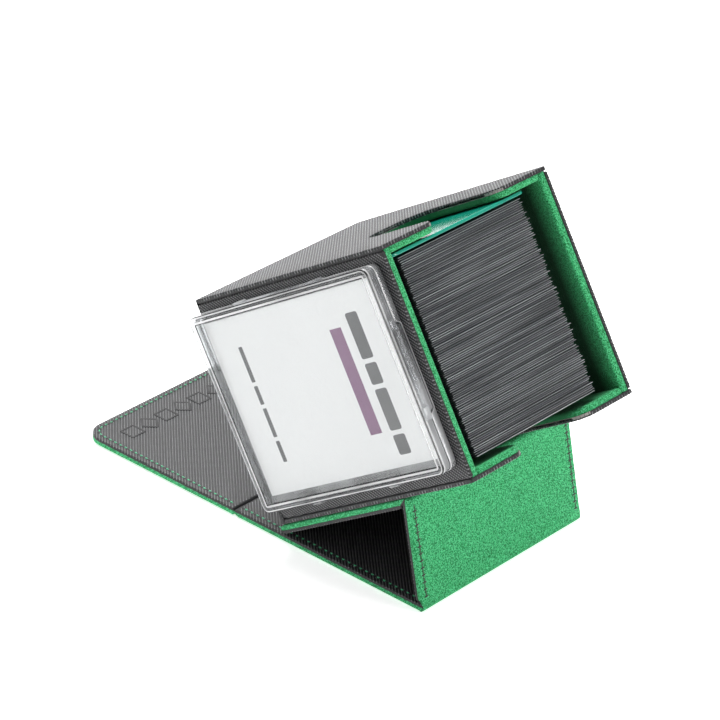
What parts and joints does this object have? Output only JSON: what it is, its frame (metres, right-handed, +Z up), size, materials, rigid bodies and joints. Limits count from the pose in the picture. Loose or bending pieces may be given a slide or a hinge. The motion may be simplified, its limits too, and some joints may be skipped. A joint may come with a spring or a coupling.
{
  "type": "card deck box",
  "caption": "Lined flip-cover box for a deck of sleeved cards, tilted on its own folded-back cover, with a clear display case on the front.",
  "frame": {"origin": "middle of the part's footprint on the table, with the cover folded back as a stand and the flap flat on the table", "axes": "+Z up; +X from the flap towards the box's mouth, along the table; -Y towards the wall that carries the display case"},
  "size_m": [0.1864, 0.0964, 0.1346],
  "materials": {
    "black_skin": "fine diagonal rib texture, satin",
    "grey_board": "pressed board, matte",
    "green_lining": "brushed suede nap",
    "magnet": "plated disc",
    "clear_case": "clear, polished",
    "printed_card": "off-white print",
    "card_sleeves": "dark sleeves, satin edges",
    "teal_divider": "glossy teal"
  },
  "bodies": {
    "box": {"side_a_skin": "black_skin", "side_a_board": "grey_board", "side_a_lining": "green_lining", "side_b_skin": "black_skin", "side_b_board": "grey_board", "side_b_lining": "green_lining", "front_skin": "black_skin", "front_board": "grey_board", "front_lining": "green_lining", "back_skin": "black_skin", "back_board": "grey_board", "back_lining": "green_lining", "bottom_skin": "black_skin", "bottom_board": "grey_board", "floor_lining": "green_lining", "hinge_strip": "black_skin", "side_magnets": "magnet", "display_base": "clear_case"},
    "insert": {"card_insert": "printed_card"},
    "lid": {"display_lid": "clear_case"},
    "deck": {"sleeved_cards": "card_sleeves"},
    "divider_card": {"divider": "teal_divider"},
    "lower_panel": {"lower_skin": "black_skin", "lower_board": "grey_board", "lower_lining": "green_lining"},
    "kick_panel": {"kick_skin": "black_skin", "kick_board": "grey_board", "kick_lining": "green_lining"},
    "top_panel": {"top_skin": "black_skin", "top_board": "grey_board", "top_lining": "green_lining"},
    "flap_panel": {"flap_skin": "black_skin", "flap_board": "grey_board", "flap_lining": "green_lining", "flap_magnets": "magnet"}
  },
  "joints": [
    {"name": "lower_fold", "type": "hinge", "parent": "box", "child": "lower_panel", "pos_m": [0.00879, 0.0037, 0.00505], "axis": [0, 1, 0], "range_deg": [0, 50]},
    {"name": "kick_fold", "type": "hinge", "parent": "lower_panel", "child": "kick_panel", "pos_m": [0.06422, 0.0037, 0.0405], "axis": [0, 1, 0], "range_deg": [-109.14, 0]},
    {"name": "top_fold", "type": "hinge", "parent": "kick_panel", "child": "top_panel", "pos_m": [0.07354, 0.0037, 0.0016], "axis": [0, 1, 0], "range_deg": [-193.47, 0]},
    {"name": "flap_fold", "type": "hinge", "parent": "top_panel", "child": "flap_panel", "pos_m": [-0.01716, 0.0037, 0.0016], "axis": [0, 1, 0], "range_deg": [-90, 0]},
    {"name": "deck_slide", "type": "slide", "parent": "box", "child": "deck", "axis": [0.8425, 0, 0.5388], "range_m": [0, 0.1]},
    {"name": "divider_slide", "type": "slide", "parent": "box", "child": "divider_card", "axis": [0.8425, 0, 0.5388], "range_m": [0, 0.1]},
    {"name": "insert_slide", "type": "slide", "parent": "box", "child": "insert", "axis": [0, -1, 0], "range_m": [0, 0.03]},
    {"name": "lid_slide", "type": "slide", "parent": "insert", "child": "lid", "axis": [0, -1, 0], "range_m": [0, 0.03]}
  ],
  "couplings": [
    {"joint": "top_fold", "follows": "kick_fold", "ratio": 1.7726}
  ]
}
